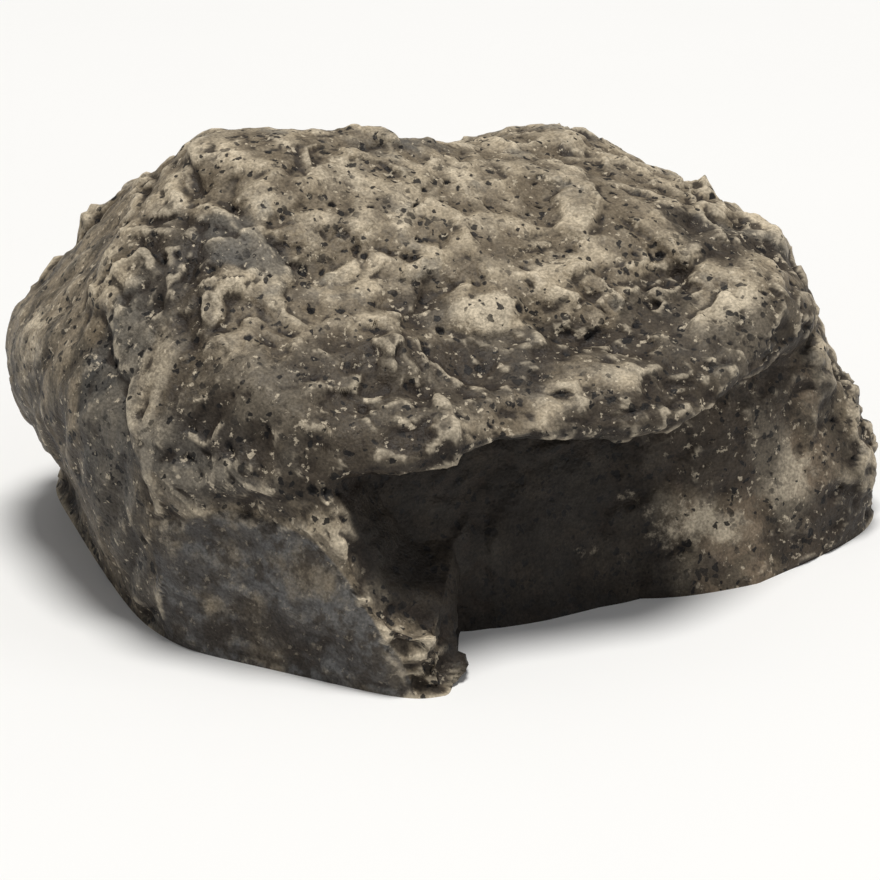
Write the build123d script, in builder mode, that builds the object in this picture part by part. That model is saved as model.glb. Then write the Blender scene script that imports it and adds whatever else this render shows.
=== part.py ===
from build123d import *
from math import cos, degrees, exp, radians, sin
import os

# A fake rock that hides a door key: a cast stone with a hollow front, and in its underside a
# moulded key tray closed by a captive sliding lid.
# Millimetres. X runs along the stone, the hollow front faces -Y and Z is up. The origin is on
# the ground under the middle of the stone's bounding box.

# Key room: the space inside the tray
room_length = 60.0
room_width = 30.0
room_height = 12.0
room_corner = 5.0

# Key tray
tub_wall = 1.6
flange_thickness = 1.5
rail_wall = 1.6
rail_thickness = 1.0
rail_lip = 1.6
rail_ground_gap = 0.5

# Sliding lid
lid_thickness = 1.6
lid_cover = 2.6
lid_grip_end = 5.0
lid_corner = 3.0
lid_side_gap = 0.3
lid_face_gap = 0.2
lug_length = 1.8
lug_width = 16.0
lug_height = 3.0
lug_gap = 0.3
grip_length = 9.0
grip_width = 18.0
grip_depth = 0.9
grip_rib = 0.9
grip_rib_count = 3

# Stone: cover left round the tray
stone_left = 12.9
stone_right = 6.8
stone_front = 19.3
stone_back = 11.4
stone_over = 27.2
tray_gap = 0.3
tub_roof_gap = 0.2
channel_gap = 0.5

# Foam pad on the tub's ceiling
pad_thickness = 2.0
pad_edge_gap = 0.5

# Screws and cast-in inserts
screw_spacing = 40.0
screw_diameter = 3.0
screw_head_diameter = 5.6
screw_head_height = 1.3
screw_length = 7.0
screw_slot_width = 0.7
screw_slot_length = 3.2
screw_slot_depth = 0.7
thread_gap = 0.05
insert_diameter = 4.6
insert_length = 6.0
insert_groove_width = 1.2
insert_groove_depth = 0.3

# Stone form, drawn round its heart, which is one unit above the ground, and then fitted to its
# real box. Every facet is a plane: name, bearing round Z and rise above the horizon of its
# outward normal in degrees, and its distance from the heart.
facets = [
    ("top_left", 193, 69, 1.72),
    ("top_front", -92, 61, 1.14),
    ("top_right", -5, 65, 1.53),
    ("right_high", -6, 38, 1.89),
    ("left_slope", 212, 42, 1.91),
    ("left_high", 170, 45, 2.03),
    ("left_under", 176, -16, 2.29),
    ("left_end", 172, 8, 2.72),
    ("back_slope", 88, 50, 1.60),
    ("back_wall", 90, 4, 1.78),
    ("back_left", 132, 8, 2.46),
    ("back_right", 38, 22, 2.28),
    ("foot_face", 220, 2, 2.19),
    ("foot_low", 220, -24, 2.41),
    ("left_brow", 236, 26, 2.06),
    ("brow_face", -92, 14, 1.75),
    ("brow_right", -58, 18, 1.94),
    ("right_end", 6, 2, 2.50),
    ("right_foot", -46, -12, 2.74),
    ("right_corner", -24, -17, 2.98),
]
facet_sharpness = 20.0

# Lumps and dips on the facets: name, bearing, rise, half length, half width, lean of the long way
# and height. All but the height are in degrees.
lumps = [
    ("saddle", 66, 62, 24, 16, 0, -0.28),
    ("shoulder_block", 176, 25, 9, 7, 10, 0.08),
    ("shoulder_gully", -179, 32, 10, 3.50, -28, -0.09),
    ("left_end_groove", -168, 4, 14, 4, 100, -0.08),
    ("left_rim", -160, 6, 14, 4, 100, 0.05),
    ("bright_lobe", -145, 17, 6, 4.50, -20, 0.09),
    ("lobe_underside", -140, 9, 8, 3, -15, -0.05),
    ("foot_shoulder", -149, 4, 11, 4, -5, 0.06),
    ("foot_hollow", -148, -12, 11, 9, 0, -0.06),
    ("foot_crease", -140, -2, 12, 2.50, -25, -0.04),
    ("pale_ledge", -102, 40, 9, 4.50, 5, 0.07),
    ("ledge_underside", -98, 30, 13, 4, 0, -0.06),
    ("left_pool", -123, 40, 7, 6, 0, -0.06),
    ("middle_lump", -128, 27, 8, 5, 10, 0.06),
    ("low_ledge", -115, 14, 11, 3, 5, 0.06),
    ("low_ledge_groove", -114, 20.50, 11, 3, 5, -0.06),
    ("wavy_ridge", -80, 18, 8, 3.50, -45, 0.08),
    ("wavy_groove", -72, 25, 9, 3.50, -45, -0.06),
    ("second_wavy_ridge", -67, 18, 7, 3, -45, 0.05),
    ("right_gully", -50, 29, 10, 3.50, 15, -0.09),
    ("right_lobe", -45, 18, 9, 5.50, 10, 0.09),
    ("right_notch", -24, 31, 6, 4, 40, -0.09),
    ("right_cheek", -26, -9, 6, 10, 0, 0.09),
    ("scoop", -47, -19, 9, 7, 10, -0.09),
    ("toe", -118, -17, 5, 6, 0, 0.05),
    ("top_dip", -45, 58, 14, 8, 20, -0.06),
    ("top_hump", -80, 60, 12, 8, 0, 0.05),
    ("top_left_lump", 176, 54, 12, 8, 20, 0.08),
    ("front_dip", -152, 42, 9, 5, 20, -0.07),
    ("back_boss", 66, 28, 14, 9, 15, 0.10),
    ("back_gully", 104, 24, 6, 16, 20, -0.10),
    ("back_ledge", 128, 30, 13, 5, -12, 0.08),
    ("back_foot", 92, -14, 20, 6, 5, 0.09),
    ("back_groove", 60, 2, 22, 4, -8, -0.08),
    ("back_pool", 20, 8, 9, 8, 0, -0.08),
    ("right_end_lump", 2, 18, 10, 6, -15, 0.08),
    ("right_end_groove", -2, -4, 6, 12, 20, -0.06),
    ("back_left_lump", 146, 2, 9, 9, 30, 0.08),
    ("back_left_groove", 150, -18, 12, 5, 0, -0.06),
]

# Front hollow: the rise of the brow over it, by bearing, as a line that runs on round the stone,
# how far it cuts towards the heart as a share of the way, and the bearing of its leaning left
# edge, by rise
brow_line = [(-180, 4), (-142, 3), (-132, 6), (-112, 11), (-92, 11), (-72, 9), (-60, 9),
             (-50, 10.5), (-40, 11), (-28, 12), (-16, 14), (60, 12), (180, 4)]
hollow_share = [(-135, 0.22), (-118, 0.34), (-105, 0.38), (-90, 0.38), (-75, 0.4), (-65, 0.39),
                (-55, 0.27), (-47, 0.17), (-38, 0.12), (-28, 0.07), (-14, 0.0)]
hollow_left_edge = [(-40, -113), (-27, -113), (-17, -114.5), (-15, -121), (-12, -125), (-5, -129),
                    (2, -131), (8, -134)]
hollow_edge_soft = 3.0
brow_soft = 6.0

# The stone's skin is triangles between rings and columns of points. One ring runs along the brow
# and another along the ceiling behind it. The columns lean round the hollow's left edge, so that
# the ones at edge_turn follow it, and stand upright again from lean_end on.
column_step = 6
edge_turn = -123
lean_end = -60
rings_below = 7
rings_above = 10
brow_steps = 5
search_steps = 30

# Worked-out sizes
rail_top = rail_ground_gap + rail_thickness
lid_bottom = rail_top + lid_face_gap
lid_top = lid_bottom + lid_thickness
mouth_level = lid_top + lid_face_gap
flange_top = mouth_level + flange_thickness
ceiling_level = mouth_level + room_height
tub_top = ceiling_level + tub_wall
pocket_top = tub_top + tub_roof_gap

lid_left_end = -room_length / 2 - lid_cover
lid_right_end = room_length / 2 + lid_grip_end
lid_width = room_width + 2 * lid_cover
tray_left_end = lid_left_end - lid_side_gap - rail_wall
tray_right_end = lid_right_end
tray_length = tray_right_end - tray_left_end
tray_width = lid_width + 2 * lid_side_gap + 2 * rail_wall
tray_corner = lid_corner + lid_side_gap + rail_wall
lid_travel = room_length - lug_length - 2 * lug_gap

recess_length = tray_length + 2 * tray_gap
recess_width = tray_width + 2 * tray_gap
rock_length = stone_left + recess_length + stone_right
rock_width = stone_front + recess_width + stone_back
rock_height = pocket_top + stone_over
recess_middle_x = (stone_left - stone_right) / 2
recess_middle_y = (stone_front - stone_back) / 2
room_x = recess_middle_x - (tray_left_end + tray_right_end) / 2
room_y = recess_middle_y


def smooth(value, start, end):
    share = min(max((value - start) / (end - start), 0.0), 1.0)
    return share * share * (3 - 2 * share)


def along(pairs, value):
    if value <= pairs[0][0]:
        return pairs[0][1]
    for (x0, y0), (x1, y1) in zip(pairs, pairs[1:]):
        if value <= x1:
            return y0 + (y1 - y0) * (value - x0) / (x1 - x0)
    return pairs[-1][1]


def direction(bearing, rise):
    flat = cos(radians(rise))
    return cos(radians(bearing)) * flat, sin(radians(bearing)) * flat, sin(radians(rise))


def facing(first, second):
    return sum(a * b for a, b in zip(first, second))


def lump_height(way):
    """Sum of the lumps in that direction. Each is a bell round its middle, turned by its lean."""
    total = 0.0
    for name, bearing, rise, half_length, half_width, lean, height in lumps:
        if facing(way, direction(bearing, rise)) > 0:
            east = degrees(facing(way, direction(bearing + 90, 0)))
            north = degrees(facing(way, direction(bearing, rise + 90)))
            run = (east * cos(radians(lean)) + north * sin(radians(lean))) / half_length
            across = (north * cos(radians(lean)) - east * sin(radians(lean))) / half_width
            total += height * exp(-0.5 * (run * run + across * across))
    return total


def hollow_cut(bearing, rise):
    """Share of the way to the heart that the front hollow cuts there."""
    left = along(hollow_left_edge, rise)
    opened = smooth(bearing, left - hollow_edge_soft / 2, left + hollow_edge_soft / 2)
    opened *= smooth(along(brow_line, bearing) - rise, 0, brow_soft)
    return opened * along(hollow_share, bearing)


def stone_reach(bearing, rise):
    """Distance from the heart to the surface. The facets are blended by a high power, the lumps
    are added and the hollow is cut."""
    way = direction(bearing, rise)
    total = 0.0
    for name, facet_bearing, facet_rise, distance in facets:
        share = facing(way, direction(facet_bearing, facet_rise)) / distance
        total += max(share, 0.0) ** facet_sharpness
    reach = total ** (-1 / facet_sharpness) + lump_height(way)
    return reach * (1 - hollow_cut(bearing, rise))


def drawn_point(bearing, rise):
    """Point of the drawn stone in that direction from its heart, with Z from the ground."""
    reach = stone_reach(bearing, rise)
    x, y, z = direction(bearing, rise)
    return x * reach, y * reach, z * reach + 1


def column_bearing(turn, rise):
    """Bearing of the column with that turn round the stone, at that rise."""
    left = along(hollow_left_edge, rise)
    half = hollow_edge_soft / 2
    return along([(-180, -180), (edge_turn - half, left - half), (edge_turn + half, left + half),
                  (lean_end, lean_end), (180, 180)], turn)


def column_point(turn, rise):
    return drawn_point(column_bearing(turn, rise), rise)


def ground_rise(turn):
    """The rise at which the column meets the ground, found by halving."""
    low, high = -89.0, 0.0
    for step in range(search_steps):
        middle = (low + high) / 2
        if column_point(turn, middle)[2] < 0:
            low = middle
        else:
            high = middle
    return high


def brow_rise(turn):
    """The rise at which the column meets the brow's line, closed in on step by step."""
    rise = 0.0
    for step in range(brow_steps):
        rise = along(brow_line, column_bearing(turn, rise))
    return rise


def column_rises(turn):
    """Rises of one column's points: from the ground to the hollow's ceiling, then from the brow
    towards the pole."""
    ground = ground_rise(turn)
    brow = brow_rise(turn)
    ceiling = brow - brow_soft
    below = [ground + (ceiling - ground) * k / rings_below for k in range(rings_below + 1)]
    above = [brow + (90 - brow) * k / rings_above for k in range(rings_above)]
    return below + above


edge_turns = [edge_turn - hollow_edge_soft / 2, edge_turn, edge_turn + hollow_edge_soft / 2]
turns = sorted(list(range(-180, 180, column_step)) + edge_turns)
columns = [[column_point(turn, rise) for rise in column_rises(turn)] for turn in turns]
drawn_rings = [[column[k] for column in columns] for k in range(len(columns[0]))]
drawn_pole = drawn_point(0, 90)
drawn_points = [point for ring in drawn_rings for point in ring] + [drawn_pole]
lowest = [min(values) for values in zip(*drawn_points)]
highest = [max(values) for values in zip(*drawn_points)]


def fitted(point):
    """The drawn point moved and stretched, so that the whole stone fills its real box."""
    x, y, z = [(value - low) / (high - low) for value, low, high in zip(point, lowest, highest)]
    return (x - 0.5) * rock_length, (y - 0.5) * rock_width, z * rock_height


def flat_face(*corners):
    return Face(Wire.make_polygon([fitted(corner) for corner in corners]))


def band(lower, upper):
    """Two triangles for each column between two rings."""
    after = [(k + 1) % len(lower) for k in range(len(lower))]
    leaning_right = [flat_face(lower[k], lower[n], upper[n]) for k, n in enumerate(after)]
    leaning_left = [flat_face(lower[k], upper[n], upper[k]) for k, n in enumerate(after)]
    return leaning_right + leaning_left


stone_faces = [flat_face(*drawn_rings[0])]
for lower, upper in zip(drawn_rings, drawn_rings[1:]):
    stone_faces += band(lower, upper)
top_ring = drawn_rings[-1]
for k in range(len(top_ring)):
    stone_faces.append(flat_face(top_ring[k - 1], top_ring[k], drawn_pole))
stone_form = Solid(Shell(stone_faces))

# Rock body
with BuildPart() as rock_body:
    add(stone_form)
    # recess for the tray's rails and flange
    with BuildSketch(Plane.XY):
        with Locations((recess_middle_x, recess_middle_y)):
            RectangleRounded(recess_length, recess_width, tray_corner + tray_gap)
    extrude(amount=flange_top, mode=Mode.SUBTRACT)
    # pocket for the tub
    with BuildSketch(Plane.XY):
        with Locations((room_x, room_y)):
            pocket_wall = tub_wall + tray_gap
            RectangleRounded(room_length + 2 * pocket_wall, room_width + 2 * pocket_wall,
                             room_corner + pocket_wall)
    extrude(amount=pocket_top, mode=Mode.SUBTRACT)
    # way for the lid, out through the rim at the right end
    with BuildSketch(Plane.XY):
        with Locations((room_x, room_y)):
            Rectangle(rock_length, lid_width + 2 * channel_gap, align=(Align.MIN, Align.CENTER))
    extrude(amount=lid_top + channel_gap, mode=Mode.SUBTRACT)
    # holes for the inserts, in the pocket's ceiling
    with BuildSketch(Plane.XY.offset(pocket_top)):
        with Locations((room_x, room_y)):
            with GridLocations(screw_spacing, 0, 2, 1):
                Circle(insert_diameter / 2 + thread_gap)
    extrude(amount=insert_length, mode=Mode.SUBTRACT)

# Key tray
with BuildPart() as key_tray:
    tray_middle_x = room_x + (tray_left_end + tray_right_end) / 2
    with BuildSketch(Plane.XY.offset(rail_ground_gap)):
        with Locations((tray_middle_x, room_y)):
            RectangleRounded(tray_length, tray_width, tray_corner)
    extrude(amount=flange_top - rail_ground_gap)
    with BuildSketch(Plane.XY.offset(mouth_level)):
        with Locations((room_x, room_y)):
            RectangleRounded(room_length + 2 * tub_wall, room_width + 2 * tub_wall,
                             room_corner + tub_wall)
    extrude(amount=tub_top - mouth_level)
    with BuildSketch(Plane.XY.offset(mouth_level)):
        with Locations((room_x, room_y)):
            RectangleRounded(room_length, room_width, room_corner)
    extrude(amount=room_height, mode=Mode.SUBTRACT)
    # way of the lid between the rails, open at the right
    with BuildSketch(Plane.XY.offset(rail_top)):
        with Locations((room_x + lid_left_end - lid_side_gap, room_y)):
            lid_way_length = tray_length + tray_corner
            RectangleRounded(lid_way_length, lid_width + 2 * lid_side_gap,
                             lid_corner + lid_side_gap, align=(Align.MIN, Align.CENTER))
    extrude(amount=mouth_level - rail_top, mode=Mode.SUBTRACT)
    # opening between the rail lips
    with BuildSketch(Plane.XY.offset(rail_ground_gap)):
        with Locations((room_x + lid_left_end + rail_lip, room_y)):
            RectangleRounded(tray_length + tray_corner, lid_width - 2 * rail_lip,
                             lid_corner, align=(Align.MIN, Align.CENTER))
    extrude(amount=rail_thickness, mode=Mode.SUBTRACT)
    # countersunk screw holes in the tub's ceiling, drilled upwards from inside
    with Locations(Plane((room_x, room_y, ceiling_level), z_dir=(0, 0, -1))):
        with GridLocations(screw_spacing, 0, 2, 1):
            CounterSinkHole(screw_diameter / 2 + thread_gap, screw_head_diameter / 2,
                            depth=tub_wall)

# Sliding lid
with BuildPart() as sliding_lid:
    with BuildSketch(Plane.XY.offset(lid_bottom)):
        with Locations((room_x + lid_left_end, room_y)):
            RectangleRounded(lid_right_end - lid_left_end, lid_width, lid_corner,
                             align=(Align.MIN, Align.CENTER))
    extrude(amount=lid_thickness)
    # stop lug, standing in the tray's mouth
    with BuildSketch(Plane.XY.offset(lid_top)):
        with Locations((room_x - room_length / 2 + lug_gap, room_y)):
            Rectangle(lug_length, lug_width, align=(Align.MIN, Align.CENTER))
    extrude(amount=lug_height)
    # thumb grip: a shallow pocket in the underside with ribs across it
    grip_x = room_x + lid_right_end - lid_grip_end - grip_length / 2
    with BuildSketch(Plane.XY.offset(lid_bottom)):
        with Locations((grip_x, room_y)):
            RectangleRounded(grip_length, grip_width, lid_corner)
        with Locations((grip_x, room_y)):
            with GridLocations(grip_length / grip_rib_count, 0, grip_rib_count, 1):
                Rectangle(grip_rib, grip_width, mode=Mode.SUBTRACT)
    extrude(amount=grip_depth, mode=Mode.SUBTRACT)

# Foam pad
with BuildPart() as foam_pad:
    with BuildSketch(Plane.XY.offset(ceiling_level - pad_thickness)):
        with Locations((room_x, room_y)):
            RectangleRounded(room_length - 2 * pad_edge_gap, room_width - 2 * pad_edge_gap,
                             room_corner - pad_edge_gap)
    extrude(amount=pad_thickness)

# Tray screws, heads down against the tub's ceiling
with BuildPart() as tray_screws:
    with Locations((room_x, room_y, ceiling_level)):
        with GridLocations(screw_spacing, 0, 2, 1):
            Cone(screw_head_diameter / 2, screw_diameter / 2, screw_head_height,
                 align=(Align.CENTER, Align.CENTER, Align.MIN))
            Cylinder(screw_diameter / 2, screw_length,
                     align=(Align.CENTER, Align.CENTER, Align.MIN))
    with BuildSketch(Plane.XY.offset(ceiling_level)):
        with Locations((room_x, room_y)):
            with GridLocations(screw_spacing, 0, 2, 1):
                Rectangle(screw_slot_length, screw_slot_width)
                Rectangle(screw_slot_width, screw_slot_length)
    extrude(amount=screw_slot_depth, mode=Mode.SUBTRACT)

# Screw inserts, cast into the stone
with BuildPart() as screw_inserts:
    with Locations((room_x, room_y, pocket_top)):
        with GridLocations(screw_spacing, 0, 2, 1):
            Cylinder(insert_diameter / 2, insert_length,
                     align=(Align.CENTER, Align.CENTER, Align.MIN))
    groove_level = pocket_top + (insert_length - insert_groove_width) / 2
    with BuildSketch(Plane.XY.offset(groove_level)):
        with Locations((room_x, room_y)):
            with GridLocations(screw_spacing, 0, 2, 1):
                Circle(insert_diameter / 2)
                Circle(insert_diameter / 2 - insert_groove_depth, mode=Mode.SUBTRACT)
    extrude(amount=insert_groove_width, mode=Mode.SUBTRACT)
    with BuildSketch(Plane.XY.offset(pocket_top)):
        with Locations((room_x, room_y)):
            with GridLocations(screw_spacing, 0, 2, 1):
                Circle(screw_diameter / 2 + thread_gap)
    extrude(amount=insert_length, mode=Mode.SUBTRACT)

os.makedirs("parts", exist_ok=True)
rock_body.part.label = "rock_body"
export_step(rock_body.part, "parts/rock_body.step")
key_tray.part.label = "key_tray"
export_step(key_tray.part, "parts/key_tray.step")
sliding_lid.part.label = "sliding_lid"
export_step(sliding_lid.part, "parts/sliding_lid.step")
foam_pad.part.label = "foam_pad"
export_step(foam_pad.part, "parts/foam_pad.step")
tray_screws.part.label = "tray_screws"
export_step(tray_screws.part, "parts/tray_screws.step")
screw_inserts.part.label = "screw_inserts"
export_step(screw_inserts.part, "parts/screw_inserts.step")

print(f"stone {rock_length:.2f} x {rock_width:.2f} x {rock_height:.2f}")
print(f"key room middle {room_x:.2f}, {room_y:.2f}, mouth {mouth_level:.2f}, lid travel {lid_travel:.2f}")
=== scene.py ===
"""Looks of a fake rock that hides a door key: a speckled cast stone with a hollow front, and in its
underside a black key tray with a sliding lid. The stone is drawn without a unit and fitted to its
box. Its relief is worked out in millimetres, and everything that reaches Blender is in metres."""

import bpy
import numpy as np
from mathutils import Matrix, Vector


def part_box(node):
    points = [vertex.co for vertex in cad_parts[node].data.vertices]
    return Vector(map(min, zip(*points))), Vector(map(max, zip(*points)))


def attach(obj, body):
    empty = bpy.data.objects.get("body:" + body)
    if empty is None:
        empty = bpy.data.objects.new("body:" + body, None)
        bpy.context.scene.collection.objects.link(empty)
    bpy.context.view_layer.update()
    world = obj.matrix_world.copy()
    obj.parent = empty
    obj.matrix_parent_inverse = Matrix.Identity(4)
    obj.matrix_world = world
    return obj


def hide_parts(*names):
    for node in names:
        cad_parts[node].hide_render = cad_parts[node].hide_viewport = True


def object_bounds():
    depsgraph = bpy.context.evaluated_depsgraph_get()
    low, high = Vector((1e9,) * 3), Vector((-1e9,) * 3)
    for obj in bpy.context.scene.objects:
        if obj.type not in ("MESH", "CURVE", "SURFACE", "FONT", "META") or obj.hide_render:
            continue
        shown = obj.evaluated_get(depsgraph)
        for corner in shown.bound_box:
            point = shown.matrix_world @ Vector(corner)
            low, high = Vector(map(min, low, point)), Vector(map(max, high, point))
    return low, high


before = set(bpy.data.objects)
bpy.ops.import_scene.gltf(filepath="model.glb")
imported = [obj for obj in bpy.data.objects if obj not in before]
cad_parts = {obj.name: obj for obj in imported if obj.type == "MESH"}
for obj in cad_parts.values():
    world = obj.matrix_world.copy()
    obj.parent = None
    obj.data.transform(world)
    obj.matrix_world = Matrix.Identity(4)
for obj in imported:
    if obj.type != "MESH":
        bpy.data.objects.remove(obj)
cad_low, cad_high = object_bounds()

MM = 0.001

# ---- the stone's drawn form

# The stone is drawn round its heart, one unit above the ground, and then fitted to its real box.
# Each facet is a plane: bearing round Z and rise of its outward normal, distance from the heart.
FACETS = {
    "top_left": (193, 69, 1.72),
    "top_front": (-92, 61, 1.14),
    "top_right": (-5, 65, 1.53),
    "right_high": (-6, 38, 1.89),
    "left_slope": (212, 42, 1.91),
    "left_high": (170, 45, 2.03),
    "left_under": (176, -16, 2.29),
    "left_end": (172, 8, 2.72),
    "back_slope": (88, 50, 1.60),
    "back_wall": (90, 4, 1.78),
    "back_left": (132, 8, 2.46),
    "back_right": (38, 22, 2.28),
    "foot_face": (220, 2, 2.19),
    "foot_low": (220, -24, 2.41),
    "left_brow": (236, 26, 2.06),
    "brow_face": (-92, 14, 1.75),
    "brow_right": (-58, 18, 1.94),
    "right_end": (6, 2, 2.50),
    "right_foot": (-46, -12, 2.74),
    "right_corner": (-24, -17, 2.98),
}
FACET_SHARPNESS = 20.0

# Lumps and dips: bearing, rise, half length, half width, lean of the long way, height
LUMPS = {
    "saddle": (66, 62, 24, 16, 0, -0.28),
    "shoulder_block": (176, 25, 9, 7, 10, 0.08),
    "shoulder_gully": (-179, 32, 10, 3.5, -28, -0.09),
    "left_end_groove": (-168, 4, 14, 4, 100, -0.08),
    "left_rim": (-160, 6, 14, 4, 100, 0.05),
    "bright_lobe": (-145, 17, 6, 4.5, -20, 0.09),
    "lobe_underside": (-140, 9, 8, 3, -15, -0.05),
    "foot_shoulder": (-149, 4, 11, 4, -5, 0.06),
    "foot_hollow": (-148, -12, 11, 9, 0, -0.06),
    "foot_crease": (-140, -2, 12, 2.5, -25, -0.04),
    "pale_ledge": (-102, 40, 9, 4.5, 5, 0.07),
    "ledge_underside": (-98, 30, 13, 4, 0, -0.06),
    "left_pool": (-123, 40, 7, 6, 0, -0.06),
    "middle_lump": (-128, 27, 8, 5, 10, 0.06),
    "low_ledge": (-115, 14, 11, 3, 5, 0.06),
    "low_ledge_groove": (-114, 20.5, 11, 3, 5, -0.06),
    "wavy_ridge": (-80, 18, 8, 3.5, -45, 0.08),
    "wavy_groove": (-72, 25, 9, 3.5, -45, -0.06),
    "second_wavy_ridge": (-67, 18, 7, 3, -45, 0.05),
    "right_gully": (-50, 29, 10, 3.5, 15, -0.09),
    "right_lobe": (-45, 18, 9, 5.5, 10, 0.09),
    "right_notch": (-24, 31, 6, 4, 40, -0.09),
    "right_cheek": (-26, -9, 6, 10, 0, 0.09),
    "scoop": (-47, -19, 9, 7, 10, -0.09),
    "toe": (-118, -17, 5, 6, 0, 0.05),
    "top_dip": (-45, 58, 14, 8, 20, -0.06),
    "top_hump": (-80, 60, 12, 8, 0, 0.05),
    "top_left_lump": (176, 54, 12, 8, 20, 0.08),
    "front_dip": (-152, 42, 9, 5, 20, -0.07),
    "back_boss": (66, 28, 14, 9, 15, 0.10),
    "back_gully": (104, 24, 6, 16, 20, -0.10),
    "back_ledge": (128, 30, 13, 5, -12, 0.08),
    "back_foot": (92, -14, 20, 6, 5, 0.09),
    "back_groove": (60, 2, 22, 4, -8, -0.08),
    "back_pool": (20, 8, 9, 8, 0, -0.08),
    "right_end_lump": (2, 18, 10, 6, -15, 0.08),
    "right_end_groove": (-2, -4, 6, 12, 20, -0.06),
    "back_left_lump": (146, 2, 9, 9, 30, 0.08),
    "back_left_groove": (150, -18, 12, 5, 0, -0.06),
}

# Front hollow: rise of the brow over it, as a line that runs on round the stone, the share that
# it cuts towards the heart by bearing, and the bearing of its leaning left edge by rise
BROW_LINE = [(-180, 4), (-142, 3), (-132, 6), (-112, 11), (-92, 11), (-72, 9), (-60, 9), (-50, 10.5),
             (-40, 11), (-28, 12), (-16, 14), (60, 12), (180, 4)]
HOLLOW_SHARE = [(-135, 0.22), (-118, 0.34), (-105, 0.38), (-90, 0.38), (-75, 0.40), (-65, 0.39),
                (-55, 0.27), (-47, 0.17), (-38, 0.12), (-28, 0.07), (-14, 0.0)]
HOLLOW_LEFT_EDGE = [(-40, -113), (-27, -113), (-17, -114.5), (-15, -121), (-12, -125), (-5, -129),
                    (2, -131), (8, -134)]
HOLLOW_EDGE_SOFT = 3.0
BROW_SOFT = 6.0

# Zones of the surface, as the rise under which each begins, by bearing
LEFT_END_TOP = [(140, -60), (150, 34), (165, 26), (176, 17), (190, 12), (198, 4), (203, -60)]
FOOT_TOP = [(-166, -60), (-161, -6), (-155, -3), (-148, -1), (-140, -2), (-134, -4), (-130, -8),
            (-126, -13), (-121, -19), (-117, -30), (-116, -60)]

# The skin's columns at EDGE_TURN lean along the hollow's left edge, and are upright from LEAN_END
EDGE_TURN = -123.0
LEAN_END = -60.0
COLUMNS = 560
ROWS = 170
OUTLINE_STEPS = 2880
PROFILE_STEPS = 700
HALVINGS = 40
FRONT_MIDDLE = -95.0
FRONT_DENSITY = 1.6
HEART_HEIGHT = np.array([0.0, 0.0, 1.0])


def smooth(value, start, end):
    """Rises from 0 at start to 1 at end along the cubic 3t^2 - 2t^3."""
    share = np.clip((value - start) / (end - start), 0.0, 1.0)
    return share * share * (3 - 2 * share)


def along(pairs, value):
    """Straight lines through the pairs, read at each value."""
    table = np.array(pairs, float)
    return np.interp(value, table[:, 0], table[:, 1])


def turned(bearing, middle):
    """The angle from a bearing to another, wrapped to between -180 and 180 degrees."""
    return (bearing - middle + 180) % 360 - 180


def direction(bearing, rise):
    """Unit vector at a bearing round Z and a rise above the level, in degrees."""
    b, r = np.radians(bearing), np.radians(rise)
    return np.stack([np.cos(b) * np.cos(r), np.sin(b) * np.cos(r), np.sin(r) + 0 * b], -1)


def bell_sum(table, way):
    """Sum of a table's bells: each is its height times the exponential of minus half the squared
    run along it plus the squared run across it, in half widths, turned by its lean."""
    total = np.zeros(way.shape[:-1])
    for bearing, rise, half_length, half_width, lean, height in table.values():
        middle = direction(bearing, rise)
        east = way @ direction(bearing + 90, 0)
        north = way @ direction(bearing, rise + 90)
        turn = np.radians(lean)
        run = np.degrees(east * np.cos(turn) + north * np.sin(turn)) / half_length
        across = np.degrees(north * np.cos(turn) - east * np.sin(turn)) / half_width
        total += np.where(way @ middle > 0, height * np.exp(-0.5 * (run ** 2 + across ** 2)), 0)
    return total


def hollow_mask(bearing, rise):
    """1 inside the front hollow, 0 outside: right of its leaning edge and under its brow."""
    left = along(HOLLOW_LEFT_EDGE, rise)
    opened = smooth(bearing, left - HOLLOW_EDGE_SOFT / 2, left + HOLLOW_EDGE_SOFT / 2)
    return opened * smooth(along(BROW_LINE, bearing) - rise, 0, BROW_SOFT)


def stone_reach(bearing, rise):
    """Distance from the heart to the surface: the inverse of the 20th-power mean of how squarely
    each facet is faced, with the lumps added, cut by the hollow's share."""
    way = direction(bearing, rise)
    table = np.array(list(FACETS.values()), float)
    facing = way @ direction(table[:, 0], table[:, 1]).T / table[:, 2]
    reach = (np.maximum(facing, 0) ** FACET_SHARPNESS).sum(-1) ** (-1 / FACET_SHARPNESS)
    reach = reach + bell_sum(LUMPS, way)
    return reach * (1 - hollow_mask(bearing, rise) * along(HOLLOW_SHARE, bearing))


def drawn_point(bearing, rise):
    """Point of the drawn stone in that direction from its heart, with Z from the ground."""
    place = direction(bearing, rise) * stone_reach(bearing, rise)[..., None]
    return place + HEART_HEIGHT


def column_bearing(turn, rise):
    """Bearing of a column at a rise: its turn round the stone, moved so that the turns at both
    sides of EDGE_TURN follow the sides of the hollow's left edge."""
    left = along(HOLLOW_LEFT_EDGE, rise)
    half = HOLLOW_EDGE_SOFT / 2
    first, second = EDGE_TURN - half, EDGE_TURN + half
    before = -180 + (turn + 180) / (first + 180) * (left - half + 180)
    inside = left + turn - EDGE_TURN
    behind = LEAN_END - (LEAN_END - turn) / (LEAN_END - second) * (LEAN_END - left - half)
    return np.select([turn < first, turn < second, turn < LEAN_END], [before, inside, behind], turn)


def column_point(turn, rise):
    """Point of the drawn stone on the column with that turn, at that rise."""
    return drawn_point(column_bearing(turn, rise), rise)


def ground_rise(turn):
    """The rise, below the level, at which each column meets the ground, by halving."""
    low, high = np.full_like(turn, -89.0), np.zeros_like(turn)
    for step in range(HALVINGS):
        middle = (low + high) / 2
        under = column_point(turn, middle)[..., 2] < 0
        low, high = np.where(under, middle, low), np.where(under, high, middle)
    return high


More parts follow.
